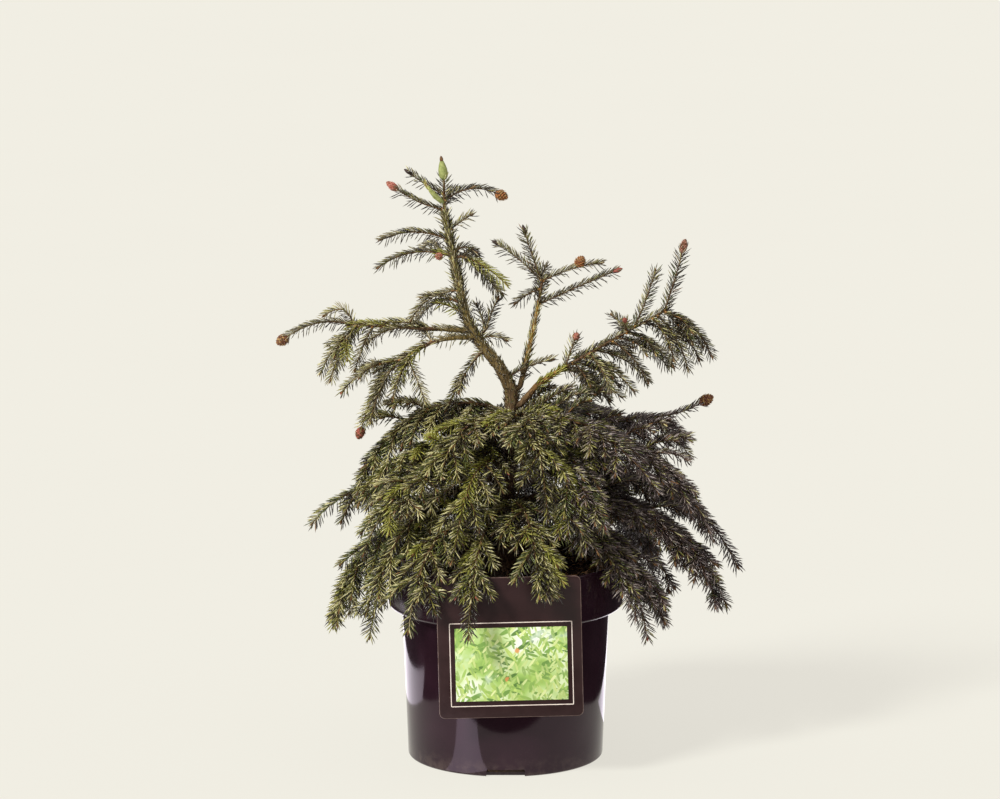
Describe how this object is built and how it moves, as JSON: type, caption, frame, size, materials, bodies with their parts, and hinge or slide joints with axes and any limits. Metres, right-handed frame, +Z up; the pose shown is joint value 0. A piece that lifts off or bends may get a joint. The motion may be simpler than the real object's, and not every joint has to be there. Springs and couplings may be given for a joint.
{
  "type": "potted norway spruce",
  "caption": "Young drooping spruce tree in a round black nursery pot, with a picture card hooked over the rim.",
  "frame": {"origin": "middle of the pot's flat underside", "axes": "+Z up the trunk, -Y towards the viewer and the picture card, +X to the viewer's right"},
  "size_m": [0.4356, 0.3333, 0.5735],
  "materials": {
    "pot": "glossy black injection moulded plastic",
    "soil": "rough dark compost",
    "card": "satin dark brown plastic card with a printed picture",
    "bark": "rough golden brown bark with needle pegs",
    "needles": "satin green needles on golden twigs, with brown cones"
  },
  "bodies": {
    "root": {"bough_left_high": "bark", "bough_left_middle": "bark", "bough_low_left": "bark", "bough_lower_right": "bark", "bough_middle_back_left": "bark", "bough_middle_back_right": "bark", "bough_middle_front_left": "bark", "bough_middle_front_right": "bark", "bough_middle_right": "bark", "bough_right_cone": "bark", "bough_right_high": "bark", "bough_right_leader": "bark", "bough_skirt_back": "bark", "bough_skirt_back_left": "bark", "bough_skirt_back_right": "bark", "bough_skirt_front_left": "bark", "bough_skirt_left": "bark", "bough_skirt_right": "bark", "bough_skirt_right_front": "bark", "card": "card", "foliage_crown_left": "needles", "foliage_crown_right": "needles", "foliage_crown_top": "needles", "foliage_inner_left": "needles", "foliage_left_high": "needles", "foliage_left_middle": "needles", "foliage_low_left": "needles", "foliage_lower_right": "needles", "foliage_middle_back_left": "needles", "foliage_middle_back_right": "needles", "foliage_middle_front": "needles", "foliage_middle_front_left": "needles", "foliage_middle_front_right": "needles", "foliage_middle_right": "needles", "foliage_right_cone": "needles", "foliage_right_high": "needles", "foliage_right_leader": "needles", "foliage_shoulder_left": "needles", "foliage_shoulder_low": "needles", "foliage_shoulder_right": "needles", "foliage_skirt_back": "needles", "foliage_skirt_back_left": "needles", "foliage_skirt_back_right": "needles", "foliage_skirt_front": "needles", "foliage_skirt_front_left": "needles", "foliage_skirt_front_right": "needles", "foliage_skirt_left": "needles", "foliage_skirt_left_low": "needles", "foliage_skirt_right": "needles", "foliage_skirt_right_front": "needles", "foliage_under_right": "needles", "foliage_upper_back": "needles", "foliage_upper_back_left": "needles", "foliage_upper_back_right": "needles", "foliage_upper_front_left": "needles", "foliage_upper_front_right": "needles", "foliage_upper_left": "needles", "pot": "pot", "soil": "soil", "trunk": "bark"}
  },
  "joints": []
}
